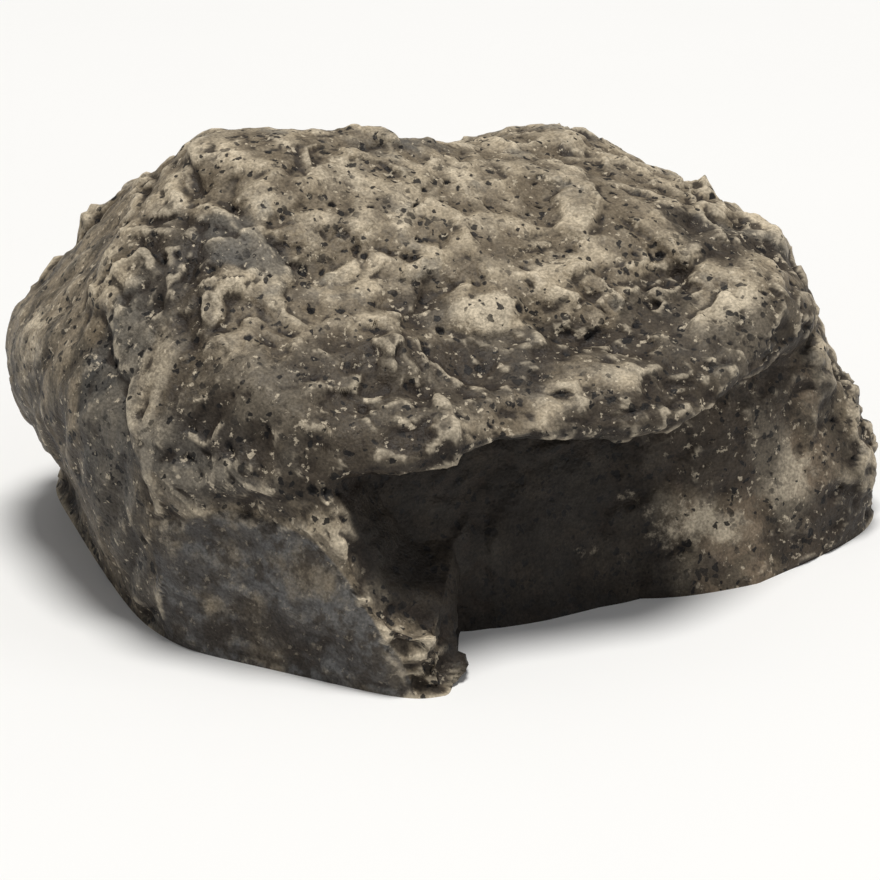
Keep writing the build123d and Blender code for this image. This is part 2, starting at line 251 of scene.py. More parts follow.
def column_turns():
    """Turns of the columns: even steps along the outline at the heart's level, made closer in
    front than behind by the cosine of the turn."""
    turn = np.linspace(-180, 180, OUTLINE_STEPS + 1)
    outline = column_point(turn, np.zeros_like(turn))
    steps = np.linalg.norm(np.diff(outline, axis=0), axis=-1)
    facing = np.cos(np.radians(turned(turn[1:], FRONT_MIDDLE)))
    steps = steps * (1 + (FRONT_DENSITY - 1) * (0.5 + 0.5 * facing))
    length = np.concatenate([[0], np.cumsum(steps)])
    return np.interp(np.linspace(0, length[-1], COLUMNS, endpoint=False), length, turn)


def skin_grid():
    """Bearing and rise of each grid point. A column runs from the pole to the ground, and its
    points are evenly spaced by the length of its profile."""
    turn = column_turns()
    share = np.linspace(0, 1, PROFILE_STEPS)[:, None]
    rise = 90 - (90 - ground_rise(turn)) * share
    points = column_point(np.broadcast_to(turn, rise.shape), rise)
    steps = np.linalg.norm(np.diff(points, axis=0), axis=-1)
    length = np.vstack([np.zeros(COLUMNS), np.cumsum(steps, 0)])
    length /= length[-1]
    lane = 2.0 * np.arange(COLUMNS)
    wanted = np.linspace(0, 1, ROWS)[:, None] + lane
    rise = np.interp(wanted.T.ravel(), (length + lane).T.ravel(), rise.T.ravel())
    rise = rise.reshape(COLUMNS, ROWS).T
    return column_bearing(np.broadcast_to(turn, rise.shape), rise), rise


def grid_normals(points):
    """Unit normals of a closed ring of columns: the cross product of the steps along and across."""
    down = np.gradient(points, axis=0)
    round_ = np.roll(points, -1, 1) - np.roll(points, 1, 1)
    normal = np.cross(down, round_)
    normal /= np.maximum(np.linalg.norm(normal, axis=-1, keepdims=True), 1e-9)
    normal[0] = (0, 0, 1)
    return normal


# ---- relief

# Broad swells of the relief, as lumps in millimetres
SWELLS = {
    "top_left_back": (144, 48, 9, 8, 0, 1.5),
    "back_left_slope": (143, 19, 7, 7, 0, -1.2),
    "far_left": (152, 2, 7, 6, 0, 1.0),
    "back_left_foot": (146, -20, 12, 9, 0, -1.2),
    "saddle_right": (62, 36, 10, 7, 0, -1.3),
    "right_crown": (12, 27, 8, 7, 0, 1.5),
    "right_shoulder": (-14, 16, 10, 8, 0, 2.4),
    "right_foot": (-18, -8, 7, 6, 0, -1.1),
    "brow_right": (-52, 9, 11, 3, 10, -1.3),
}

# Paint on the stone, as lumps of the same kind: pale, dark and grey places. The dark places are
# partly dark paint and partly painted shade under lobes, ledges and the brow and in the right end's
# undercut
PALE = {
    "bright_lobe": (-145, 17, 6, 4.5, -20, 1.0),
    "pale_ledge": (-103, 40, 8, 4, 5, 0.9),
    "pale_ledge_column": (-100, 33, 3, 6, 0, 0.8),
    "right_lobe": (-46, 20, 9, 5.5, 10, 0.9),
    "scoop_floor": (-53, -19, 7, 4, 10, 0.8),
    "scoop_rim": (-38, -13, 3, 9, 10, 0.8),
    "cave_side": (-40, -4, 4, 7, 10, 0.5),
    "toe_top": (-121, -16.5, 4, 1.8, -20, 0.35),
    "notch_piece": (-134, -1, 2, 5, 0, 0.6),
    "low_ledge_rim": (-113, 15, 10, 2.5, 5, 0.6),
    "wavy_rims": (-76, 17, 9, 3, -30, 0.6),
    "cave_base": (-74, -28, 5, 2.5, 0, 0.40),
    "top_patch": (172, 66, 9, 6, 0, 0.6),
    "second_top_patch": (-60, 66, 10, 5, 0, 0.5),
    "upper_right": (-55, 50, 9, 6, 0, 0.5),
    "shoulder_patch": (-176, 20, 6, 5, 0, 0.4),
    "far_left": (164, 8, 5, 14, 0, 0.6),
    "left_edge": (-161, 8, 14, 1.2, 100, 0.9),
    "foot_patch": (-148, -13, 4, 5, 20, 0.45),
    "back_patch": (70, 30, 14, 9, 15, 0.8),
    "second_back_patch": (120, 24, 9, 12, 0, 0.6),
    "right_end_patch": (0, 15, 10, 7, -15, 0.7),
}
# Dark places: partly dark paint, partly painted shade where lobes, ledges and the brow overhang
DARK = {
    "shoulder_gully": (-179, 32, 10, 3.5, -28, 0.8),
    "lobe_underside": (-139, 9, 9, 3, -15, 0.9),
    "hollow_corner": (-131, 6, 6, 3, -10, 0.9),
    "ledge_underside": (-98, 29, 12, 3, 0, 0.7),
    "left_pool": (-123, 41, 6, 5, 0, 0.7),
    "low_ledge_groove": (-114, 21, 11, 3, 5, 0.9),
    "right_gully": (-50, 29, 9, 3, 15, 1.0),
    "right_notch": (-24, 31, 7, 3, 40, 0.9),
    "right_streaks": (-49, 1, 9, 10, 0, 1.5),
    "brow_right": (-56, 9, 11, 4, 12, 1.3),
    "brow_corner": (-40, 10, 7, 4, 20, 1.1),
    "front_belt": (-105, 21, 40, 11, 0, 0.36),
    "left_front": (-158, 20, 20, 14, 0, 0.28),
    "right_foot": (-29, -23, 8, 5, 0, 1.4),
    "right_shade": (-20, 14, 3, 18, 0, 0.7),
    "wavy_groove": (-72, 25, 9, 3, -45, 0.8),
    "under_wavy_rims": (-74, 12, 12, 2.0, 0, 0.9),
    "under_low_ledge": (-118, 10, 8, 2.0, -10, 0.7),
    "foot_base": (-140, -20, 10, 3, 0, 0.6),
    "middle_shade": (-135, 22, 6, 5, 20, 0.5),
    "back_gully": (104, 24, 6, 16, 20, 0.8),
    "back_groove": (60, 2, 22, 4, -8, 0.8),
    "right_end_groove": (-2, -4, 6, 12, 20, 0.6),
}
GREY = {
    "left_end_band": (-171, 6, 22, 3.5, 100, 1.3),
    "slate_pool": (-167, 39, 6, 3.5, 0, 0.9),
    "above_foot": (-153, 6, 9, 6, -10, 0.8),
    "brow_lip": (-97, 9, 13, 1.6, 0, 0.8),
    "top_edge": (95, 74, 20, 5, 0, 0.5),
    "right_edge": (-16, 20, 3, 20, 0, 0.6),
    "back_slate": (40, 22, 10, 12, 30, 0.7),
}


# Between which shares, bearings or rises each zone fades in
HOLLOW_CUT = (0.04, 0.12)
WALL_FADE = (0.05, 0.30)
END_FADE = (-3, 4)
FOOT_FADE = (-1.5, 2.5)
SCOOP_START = (-62, -50)
LIP_FADE = (-1, 1)
LIP_LOWEST = (2, 6)
LIP_START = (-124, -114)
LIP_END = (-84, -74)
WALL_WITHOUT_PALE = -100

# Patterns of the relief, in millimetres: size and seed, then how crisp the plates are, or the
# share of cells that hold a pit and its radius
BROAD_PLATES, BROAD_HEIGHT = (5.6, 11, 13.0), 1.50
MIDDLE_PLATES, MIDDLE_HEIGHT = (2.9, 21, 18.0), 0.90
FINE_PLATES, FINE_HEIGHT = (1.6, 31, 14.0), 0.30
LARGE_KNOBS, LARGE_KNOB_HEIGHT = (2.3, 101), 0.20
SMALL_KNOBS, SMALL_KNOB_HEIGHT = (1.25, 111), 0.10
SMALL_PITS = (1.7, 81, 0.6, 0.45)
LARGE_PITS = (5.2, 91, 0.25, 0.6)
PIT_DEPTH = 0.45
BROAD_STRETCH = np.array([0.70, 0.78, 1.05])
MIDDLE_STRETCH = np.array([0.8, 0.9, 1.15])
WARP_SIZE, WARP_SEED, WARP_REACH = 6.0, 60, 1.3
FINE_WARP_SIZE, FINE_WARP_SEED, FINE_WARP_REACH = 1.6, 160, 0.35

# Share of the relief that is lost on the calm zones, on pale places and on the top
CALM_END, CALM_HOLLOW = 0.9, 0.7
CALM_LOSS, PALE_LOSS, TOP_LOSS = 0.85, 0.45, 0.35
PIT_LOSS = 0.9

# Numbers that mix the bits of a whole-number place
PLACE_PRIMES = (73856093, 19349663, 83492791)
SEED_FACTOR = 40503
MIXERS = ((15, 1274126177), (13, 1103515245))
LAST_SHIFT = 16
ALL_BITS = 0xFFFFFFFF


def scatter(cell, seed):
    """A fixed number from 0 to 1 for each whole-number place: its parts are multiplied by large
    primes, mixed bit by bit and cut to 32 bits."""
    first, second, third = PLACE_PRIMES
    mixed = cell[..., 0] * first ^ cell[..., 1] * second ^ cell[..., 2] * third
    mixed = (mixed ^ seed * SEED_FACTOR) & ALL_BITS
    for shift, factor in MIXERS:
        mixed = ((mixed ^ mixed >> shift) * factor) & ALL_BITS
    return (mixed ^ mixed >> LAST_SHIFT) / ALL_BITS


def soft_noise(points, size, seed):
    """Smooth noise from -1 to 1: the scattered numbers of the eight corners of each point's cell,
    mixed along each axis by 6t^5 - 15t^4 + 10t^3."""
    place = points / size
    corner = np.floor(place).astype(np.int64)
    share = place - corner
    share = share ** 3 * (share * (share * 6 - 15) + 10)
    total = 0.0
    for step in np.ndindex(2, 2, 2):
        weight = np.where(np.array(step) == 1, share, 1 - share).prod(-1)
        total = total + weight * scatter(corner + np.array(step), seed)
    return total * 2 - 1


def neighbours(points, size, seed):
    """Goes through the 27 cells round each point and gives, for each, the offset from the centre
    that is scattered in it and that cell."""
    place = points / size
    home = np.floor(place).astype(np.int64)
    for step in np.ndindex(3, 3, 3):
        cell = home + np.array(step) - 1
        centre = cell + np.stack([scatter(cell, seed + k) for k in range(3)], -1)
        yield place - centre, cell


def plates(points, size, seed, crisp):
    """Broken plates, from -1 to 1: each scattered centre has a plane tilted its own way, and the
    planes are averaged with weights that fall as the exponential of the squared distance."""
    total, weights = 0.0, 0.0
    for offset, cell in neighbours(points, size, seed):
        weight = np.exp(-crisp * (offset ** 2).sum(-1))
        tilt = np.stack([scatter(cell, seed + 3 + k) for k in range(3)], -1) * 2 - 1
        plane = (offset * tilt).sum(-1) + scatter(cell, seed + 6) - 0.5
        total = total + weight * plane
        weights = weights + weight
    return total / weights


def knobs(points, size, seed):
    """Packed knobs, from -1 to 1: one less twice the distance to the nearest scattered centre,
    where that distance is rounded off close to the centre."""
    nearest = np.full(points.shape[:-1], 9.0)
    for offset, cell in neighbours(points, size, seed):
        nearest = np.minimum(nearest, (offset ** 2).sum(-1) + 0.35 * scatter(cell, seed + 3) ** 2)
    return 1 - 2 * np.sqrt(nearest + 0.02)


def pits(points, size, seed, share, radius):
    """Round pits at a share of the scattered centres: one less the squared distance, in the pit's
    own radius."""
    deep = np.zeros(points.shape[:-1])
    for offset, cell in neighbours(points, size, seed):
        own = radius * (0.5 + 0.9 * scatter(cell, seed + 4))
        bowl = 1 - (offset ** 2).sum(-1) * size ** 2 / own ** 2
        deep = np.maximum(deep, np.where(scatter(cell, seed + 3) < share, bowl, 0))
    return deep


def cut_mask(bearing, rise):
    """The hollow's mask where the hollow really is cut: it fades out with the share it cuts."""
    share = along(HOLLOW_SHARE, bearing)
    return hollow_mask(bearing, rise) * smooth(share, *HOLLOW_CUT) * (bearing < 0)


def zones(bearing, rise):
    """Masks from 0 to 1: the left end, the foot's face, the hollow, its dark wall, its open right
    side, the lip under the brow, and the pale, dark and grey paint. The dark wall and the dark paint
    are partly painted shade."""
    behind = np.where(bearing < 0, bearing + 360, bearing)
    end = smooth(along(LEFT_END_TOP, behind) - rise, *END_FADE)
    foot = smooth(along(FOOT_TOP, bearing) - rise, *FOOT_FADE)
    hollow = cut_mask(bearing, rise)
    scoop = hollow * smooth(bearing, *SCOOP_START)
    lip = smooth(along(BROW_LINE, bearing) - rise, *LIP_FADE) * smooth(rise, *LIP_LOWEST)
    lip = lip * smooth(bearing, *LIP_START) * (1 - smooth(bearing, *LIP_END))
    way = direction(bearing, rise)
    pale, dark, grey = (np.clip(bell_sum(table, way), 0, 1) for table in (PALE, DARK, GREY))
    wall = smooth(hollow, *WALL_FADE)
    pale = pale * (1 - wall * (bearing < WALL_WITHOUT_PALE))
    return {"end": end, "foot": foot, "hollow": hollow, "scoop": scoop, "lip": lip, "pale": pale,
            "dark": dark, "grey": grey, "wall": wall}


def warp_field(points, size, seed):
    """Three soft noises, by which a pattern's coordinates are bent."""
    return np.stack([soft_noise(points, size, seed + k) for k in range(3)], -1)


def relief(points, zone, way):
    """Height in millimetres to be added along the normal, and how deep the pits are: swells,
    broken plates of three sizes and knobs of two, calmed on the smooth zones and in patches,
    streaks on the left end, grain, and pits where the plates lie low."""
    calm = np.maximum(np.maximum(zone["foot"], zone["end"] * CALM_END), zone["hollow"] * CALM_HOLLOW)
    patchy = 0.55 + 0.45 * smooth(soft_noise(points, 9.0, 5) + 0.4 * soft_noise(points, 4.0, 6),
                                  -0.3, 0.4)
    rough = (1 - CALM_LOSS * calm) * (1 - PALE_LOSS * zone["pale"]) * patchy
    rough = rough * (1 - TOP_LOSS * smooth(way[..., 2], 0.70, 0.88))
    warp = warp_field(points, WARP_SIZE, WARP_SEED)
    fine_warp = warp_field(points, FINE_WARP_SIZE, FINE_WARP_SEED)
    bent = points + WARP_REACH * warp + FINE_WARP_REACH * fine_warp
    height = 0.35 * soft_noise(points, 11.0, 1) + bell_sum(SWELLS, way)
    broad = plates(bent * BROAD_STRETCH, *BROAD_PLATES)
    middle = plates(bent * MIDDLE_STRETCH, *MIDDLE_PLATES)
    height = height + rough * (BROAD_HEIGHT * broad + MIDDLE_HEIGHT * middle)
    for size, pattern in ((FINE_HEIGHT, plates(bent, *FINE_PLATES)),
                          (LARGE_KNOB_HEIGHT, knobs(bent, *LARGE_KNOBS)),
                          (SMALL_KNOB_HEIGHT, knobs(points, *SMALL_KNOBS))):
        height = height + rough * size * pattern
    across, level, up = np.moveaxis(points, -1, 0)
    streak = np.stack([across, 0.9 * level + 0.45 * up, 0.25 * up - 0.12 * level], -1)
    height = height + zone["end"] * (0.45 * soft_noise(streak, 2.2, 41) +
                                     0.25 * soft_noise(points, 5.0, 42))
    height = height + zone["foot"] * 0.25 * soft_noise(points, 4.0, 43)
    height = height + 0.06 * soft_noise(points, 0.9, 51)
    cluster = smooth(0.6 * soft_noise(points, 6.0, 71) - 1.3 * middle - 0.7 * broad, 0.0, 0.55)
    holes = pits(points + 0.4 * fine_warp, *SMALL_PITS) * cluster
    holes = np.maximum(holes, pits(points + 0.6 * fine_warp, *LARGE_PITS))
    holes = holes * (1 - PIT_LOSS * calm)
    return height - PIT_DEPTH * smooth(holes, 0.0, 0.8), holes


def blurred(field, reach):
    """Mean of a grid field over a square window, wrapped round the columns."""
    total = np.zeros_like(field)
    for step in range(-reach, reach + 1):
        total += np.roll(field, step, 1)
    padded = np.pad(total, ((reach, reach), (0, 0)), "edge")
    stacked = np.cumsum(np.vstack([np.zeros((1, field.shape[1])), padded]), 0)
    window = 2 * reach + 1
    return (stacked[window:] - stacked[:-window]) / window ** 2


def closed_skin(points):
    """Vertices and faces of the whole stone: the pole's fan, the grid's quads, the flat base."""
    rows, columns = points.shape[:2]
    vertices = np.vstack([points[0, :1], points[1:].reshape(-1, 3)])
    ring = np.arange(columns)
    after = np.roll(ring, -1)
    fan = [(0, 1 + a, 1 + b) for a, b in zip(ring, after)]
    starts = 1 + columns * np.arange(rows - 2)[:, None]
    quads = np.stack([starts + ring, starts + columns + ring, starts + columns + after,
                      starts + after], -1).reshape(-1, 4)
    base = (1 + columns * (rows - 2) + ring[::-1]).tolist()
    return vertices, fan + quads.tolist() + [base]


def new_piece(name, vertices, faces):
    """A piece at the origin, with its place in its mesh."""
    mesh = bpy.data.meshes.new(name)
    mesh.from_pydata(np.asarray(vertices).tolist(), [], faces)
    piece = bpy.data.objects.new(name, mesh)
    bpy.context.scene.collection.objects.link(piece)
    return piece


def paint(mesh, name, values):
    """A named value for each vertex, which the materials read."""
    layer = mesh.attributes.get(name) or mesh.attributes.new(name, "FLOAT", "POINT")
    layer.data.foreach_set("value", np.asarray(values, np.float32))


def ring_faces(count, levels):
    """Faces of a closed solid whose vertices stand in level rings: its two ends, then its walls."""
    ring = np.arange(count)
    after = np.roll(ring, -1)
    starts = count * np.arange(levels - 1)[:, None]
    walls = np.stack([starts + ring, starts + after, starts + count + after,
                      starts + count + ring], -1)
    ends = [ring[::-1].tolist(), (count * (levels - 1) + ring).tolist()]
    return ends + walls.reshape(-1, 4).tolist()


def shaded(piece, sharp_angle, material):
    """Smooth faces, edges kept sharp from an angle in degrees on, and a material."""
    piece.data.polygons.foreach_set("use_smooth", np.ones(len(piece.data.polygons), bool))
    piece.data.set_sharp_from_angle(angle=np.radians(sharp_angle))
    piece.data.materials.append(material)


# ---- the pocket's cutters

TRAY_GAP = 0.3 * MM
CHANNEL_GAP = 0.5 * MM
FLANGE_TOP = 5.0 * MM
LID_THICKNESS = 1.6 * MM
TUB_ROOF_GAP = 0.2 * MM
TUB_MARGIN = 2.9 * MM
TUB_MARGIN_RIGHT = 3.4 * MM
RECESS_CORNER = 5.2 * MM
POCKET_CORNER = 6.9 * MM
CHANNEL_CORNER = 0.4 * MM
CORNER_STEPS = 8
CUT_BELOW = -2 * MM
CHANNEL_OVERRUN = 10 * MM


def rounded_outline(low, high, corner):
    """Outline of a rectangle with quarter-circle corners, anticlockwise."""
    turn = np.linspace(0, np.pi / 2, CORNER_STEPS)
    arcs = []
    for k, (x, y) in enumerate([(high[0], high[1]), (low[0], high[1]), (low[0], low[1]),
                                (high[0], low[1])]):
        side_x = x - corner if k in (0, 3) else x + corner
        side_y = y - corner if k in (0, 1) else y + corner
        angle = turn + k * np.pi / 2
        arcs.append(np.stack([side_x + corner * np.cos(angle), side_y + corner * np.sin(angle)], -1))
    return np.vstack(arcs)


def stacked_outlines(name, outlines):
    """A closed solid through level outlines, given as pairs of outline and height."""
    count = len(outlines[0][0])
    vertices = np.vstack([np.column_stack([line, np.full(count, z)]) for line, z in outlines])
    return new_piece(name, vertices, ring_faces(count, len(outlines)))


def cut(piece, cutter):
    """Takes the cutter's solid out of the piece and deletes the cutter."""
    step = piece.modifiers.new("cut", "BOOLEAN")
    step.operation = "DIFFERENCE"
    step.solver = "EXACT"
    step.object = cutter
    bpy.context.view_layer.objects.active = piece
    bpy.ops.object.modifier_apply(modifier=step.name)
    bpy.data.objects.remove(cutter)


def cut_pocket(piece):
    """Recess for the tray's flange and rails, pocket for its tub, and the lid's way out."""
    tray_low, tray_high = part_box("key_tray")
    lid_low, lid_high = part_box("sliding_lid")
    left, right = tray_low.x - TRAY_GAP, tray_high.x + TRAY_GAP
    front, back = tray_low.y - TRAY_GAP, tray_high.y + TRAY_GAP
    recess = rounded_outline((left, front), (right, back), RECESS_CORNER)
    pocket = rounded_outline((left + TUB_MARGIN, front + TUB_MARGIN),
                             (right - TUB_MARGIN_RIGHT, back - TUB_MARGIN), POCKET_CORNER)
    roof = tray_high.z + TUB_ROOF_GAP
    cut(piece, stacked_outlines("pocket_cutter", [(recess, CUT_BELOW), (recess, FLANGE_TOP),
                                                  (pocket, FLANGE_TOP), (pocket, roof)]))
    lid_top = lid_low.z + LID_THICKNESS
    way = rounded_outline(((lid_low.x + lid_high.x) / 2, lid_low.y - CHANNEL_GAP),
                          (cad_high.x + CHANNEL_OVERRUN, lid_high.y + CHANNEL_GAP), CHANNEL_CORNER)
    cut(piece, stacked_outlines("channel_cutter", [(way, CUT_BELOW),
                                                   (way, lid_top + CHANNEL_GAP)]))


# ---- materials

def put(tree, kind, sockets=None, **settings):
    """Adds a shader node. A socket takes a number, a colour or another node's output."""
    made = tree.nodes.new("ShaderNode" + kind)
    for name, value in settings.items():
        setattr(made, name, value)
    for key, value in (sockets or {}).items():
        if isinstance(value, bpy.types.NodeSocket):
            tree.links.new(value, made.inputs[key])
        else:
            made.inputs[key].default_value = value
    return made


def mixed(tree, share, first, second):
    """A colour that goes from the first to the second by a share."""
    values = {0: share, 6: first, 7: second}
    return put(tree, "Mix", values, data_type="RGBA").outputs[2]


def spread(tree, value, start, end, low=0.0, high=1.0):
    """The value moved from one range to another, with soft ends."""
    values = {0: value, 1: start, 2: end, 3: low, 4: high}
    return put(tree, "MapRange", values, interpolation_type="SMOOTHSTEP").outputs[0]


def maths(tree, how, first, second=0.0):
    """Two values joined by an operation."""
    return put(tree, "Math", {0: first, 1: second}, operation=how).outputs[0]


def times(tree, first, second):
    """The product of two values."""
    return maths(tree, "MULTIPLY", first, second)


def inverse(tree, value):
    """One less the value."""
    return maths(tree, "SUBTRACT", 1.0, value)


def noise(tree, place, scale, detail, roughness=0.5):
    """Cloudy noise on the coordinates."""
    values = {"Vector": place, "Scale": scale, "Detail": detail, "Roughness": roughness}
    return put(tree, "TexNoise", values)


def group(name, inputs, output, build):
    """A node group, made once: its inputs with their values, where None marks coordinates."""
    tree = bpy.data.node_groups.new(name, "ShaderNodeTree")
    for label, value in inputs.items():
        kind = "NodeSocketVector" if value is None else "NodeSocketFloat"
        socket = tree.interface.new_socket(label, in_out="INPUT", socket_type=kind)
        if value is not None:
            socket.default_value = value
    tree.interface.new_socket(output, in_out="OUTPUT", socket_type="NodeSocketFloat")
    given = tree.nodes.new("NodeGroupInput")
    result = tree.nodes.new("NodeGroupOutput")
    tree.links.new(build(tree, given.outputs), result.inputs[0])
    return tree


def build_speckle(tree, given):
    """Grains: a share of the cells of a scattered pattern, each filled out to its own size."""
    place = put(tree, "VectorMath", {0: given["Place"], 1: given["Warp"]}, operation="ADD")
    scale = maths(tree, "DIVIDE", 1.0, given["Size"])
    cells = put(tree, "TexVoronoi", {"Vector": place.outputs[0], "Scale": scale})
    pick = put(tree, "SeparateColor", {0: cells.outputs["Color"]}).outputs
    radius = spread(tree, pick[1], 0.0, 1.0, 0.13, given["Radius"])
    filled = maths(tree, "LESS_THAN", pick[0], given["Share"])
    edge = maths(tree, "SUBTRACT", radius, cells.outputs["Distance"])
    inside = spread(tree, edge, -0.03, 0.04)
    return times(tree, inside, filled)


def build_stain(tree, given):
    """Stains: cloudy noise cut between two levels."""
    scale = maths(tree, "DIVIDE", 1.0, given["Size"])
    cloud = noise(tree, given["Place"], scale, 5.0, 0.62)
    low = maths(tree, "SUBTRACT", given["Level"], given["Soft"])
    high = maths(tree, "ADD", given["Level"], given["Soft"])
    return spread(tree, cloud.outputs[0], low, high)


def build_grain(tree, given):
    """Fine moulded grain: two sizes of noise added up."""
    parts = []
    for factor, weight in ((1.0, 0.65), (0.38, 0.35)):
        scale = maths(tree, "DIVIDE", 1.0, times(tree, given["Size"], factor))
        cloud = noise(tree, given["Place"], scale, 3.0)
        parts.append(times(tree, cloud.outputs[0], weight))
    return maths(tree, "ADD", *parts)


SPECKLE = group("speckle", {"Place": None, "Warp": None, "Size": 0.001, "Share": 0.4,
                            "Radius": 0.4}, "Mask", build_speckle)
STAIN = group("stain", {"Place": None, "Size": 0.01, "Level": 0.5, "Soft": 0.1}, "Mask",
              build_stain)
GRAIN = group("grain", {"Place": None, "Size": 0.001}, "Height", build_grain)


def placed(tree, which, **sockets):
    """One of the groups above, put into a material with its own values."""
    return put(tree, "Group", sockets, node_tree=which).outputs[0]


def new_material(name):
    """An empty material: its tree, its surface shader and the object's own coordinates."""
    made = bpy.data.materials.new(name)
    made.use_nodes = True
    tree = made.node_tree
    shader = tree.nodes["Principled BSDF"]
    place = put(tree, "TexCoord").outputs["Object"]
    return made, tree, shader, place


def shifted(tree, place, shift, stretch=(1, 1, 1)):
    """The coordinates moved and stretched, so that two patterns don't line up."""
    values = {"Vector": place, "Location": shift, "Scale": stretch}
    return put(tree, "Mapping", values).outputs[0]


BEIGE = (0.410, 0.338, 0.238, 1)
BUFF = (0.260, 0.208, 0.140, 1)
CREAM = (0.68, 0.585, 0.44, 1)
TAUPE = (0.108, 0.084, 0.057, 1)
UMBER = (0.028, 0.021, 0.016, 1)
SLATE = (0.070, 0.072, 0.072, 1)
SOOT = (0.010, 0.009, 0.009, 1)
CAVE = (0.014, 0.011, 0.009, 1)
CAVE_PALE = (0.030, 0.023, 0.017, 1)
SCOOP = (0.20, 0.148, 0.100, 1)
STROKE = (0.035, 0.026, 0.019, 1)
LIP = (0.085, 0.079, 0.068, 1)
FOOT_GREY = (0.116, 0.116, 0.117, 1)
FOOT_BEIGE = (0.22, 0.183, 0.133, 1)
END_PALE = (0.27, 0.22, 0.155, 1)
END_DARK = (0.045, 0.038, 0.030, 1)


# Stains of the stone: shift of the pattern, size in metres, level at which it is cut, softness
STAINS = {
    "buff_clouds": ((0, 0, 0), 0.009, 0.5, 0.14),
    "cream_patches": ((0.3, 0, 0), 0.0045, 0.55, 0.08),
    "mottling": ((0, 0.4, 0), 0.0050, 0.54, 0.07),
    "slate_patches": ((0, 0, 0.5), 0.007, 0.61, 0.05),
    "end_streaks": ((0.2, 0.2, 0), 0.0030, 0.5, 0.10),
    "foot_clouds": ((0, 0.2, 0.2), 0.007, 0.56, 0.10),
    "foot_mottling": ((0.2, 0, 0.2), 0.0026, 0.54, 0.06),
    "scoop_clouds": ((0.5, 0.5, 0), 0.004, 0.52, 0.12),
    "strokes": ((0, 0, 0), 0.0022, 0.56, 0.05),
    "cave_clouds": ((0.1, 0, 0.3), 0.005, 0.57, 0.10),
    "clusters": ((0.9, 0, 0), 0.006, 0.47, 0.12),
    "painted_glints": ((0, 0.6, 0), 0.0009, 0.63, 0.03),
    "gloss": ((0.4, 0.1, 0), 0.004, 0.5, 0.2),
}
END_STRETCH = (1, 1, 0.22)
STROKE_STRETCH = (0.14, 1, 1)
STROKE_TURN = (0, -0.8, 0)

# How strongly each paint covers the stone, and how much noise breaks up each mask's edge
COVER = {"cream_patches": 0.55, "mottling": 0.75, "slate_patches": 0.7, "high": 0.22, "low": 0.70,
         "end": 0.75, "foot_mottling": 0.8, "foot": 0.92, "strokes": 0.8, "scoop": 0.80,
         "cave": 0.97, "lip": 0.8, "pale": 0.68, "grey": 0.62, "dark": 0.80, "under": 0.60,
         "ridge": 0.50, "crevice": 0.88, "dots": 0.93, "pit": 0.97, "painted_glints": 0.60}
BREAK_UP = {"high": 0.5, "low": 0.6, "end": 0.4, "foot": 0.4, "scoop": 0.4, "lip": 0.5,
            "pale": 1.4, "grey": 0.7, "dark": 0.7, "under": 0.5}
PALE_THINNING = 0.75
FOOT_QUIET = 0.7

# Black grains: size of the cells in metres, share of them that hold one, largest radius
CLUSTERED_GRAINS = {"Size": 0.0011, "Share": 0.72, "Radius": 0.42}
SMALL_GRAINS = {"Size": 0.0011, "Share": 0.42, "Radius": 0.34}
BIG_GRAINS = {"Size": 0.0028, "Share": 0.30, "Radius": 0.17}
GRAIN_WARP = 0.0016
EDGE_SCALE = 330.0
WOBBLE_SCALE = 900.0
GRIT_SCALE = 3200.0
GRIT_SHADES = (0.72, 1.22)
STONE_ROUGHNESS = (0.50, 0.68)
STONE_SPECULAR = 0.22


def broken(tree, mask, edge_noise, share):
    """A mask whose edge is broken up by noise round a half."""
    moved = times(tree, maths(tree, "SUBTRACT", edge_noise, 0.5), share)
    return spread(tree, maths(tree, "ADD", mask, moved), 0.30, 0.62)


def washed(tree, colour, mask, strength, coat):
    """The colour covered by a paint where the mask is, to a strength."""
    return mixed(tree, times(tree, mask, strength), colour, coat)


def black_grains(tree, place, clusters, high):
    """Black grains: small ones in clusters, most where the stone lies low, a few small ones all
    over, and some big ones."""
    wobble = noise(tree, place, WOBBLE_SCALE, 3.0)
    centred = put(tree, "VectorMath", {0: wobble.outputs["Color"], 1: (0.5, 0.5, 0.5)},
                  operation="SUBTRACT")
    warp = put(tree, "VectorMath", {0: centred.outputs[0], "Scale": GRAIN_WARP},
               operation="SCALE").outputs[0]
    sunk = times(tree, inverse(tree, high), 1.4)
    strength = times(tree, maths(tree, "ADD", sunk, 0.25), clusters)
    strength = maths(tree, "MINIMUM", strength, 1.0)
    clustered = placed(tree, SPECKLE, Place=place, Warp=warp, **CLUSTERED_GRAINS)
    small = placed(tree, SPECKLE, Place=shifted(tree, place, (0.5, 0, 0)), Warp=warp, **SMALL_GRAINS)
    big = placed(tree, SPECKLE, Place=shifted(tree, place, (0, 0.5, 0)), Warp=warp, **BIG_GRAINS)
    dots = maths(tree, "MAXIMUM", times(tree, clustered, strength), small)
    return maths(tree, "MAXIMUM", dots, big)


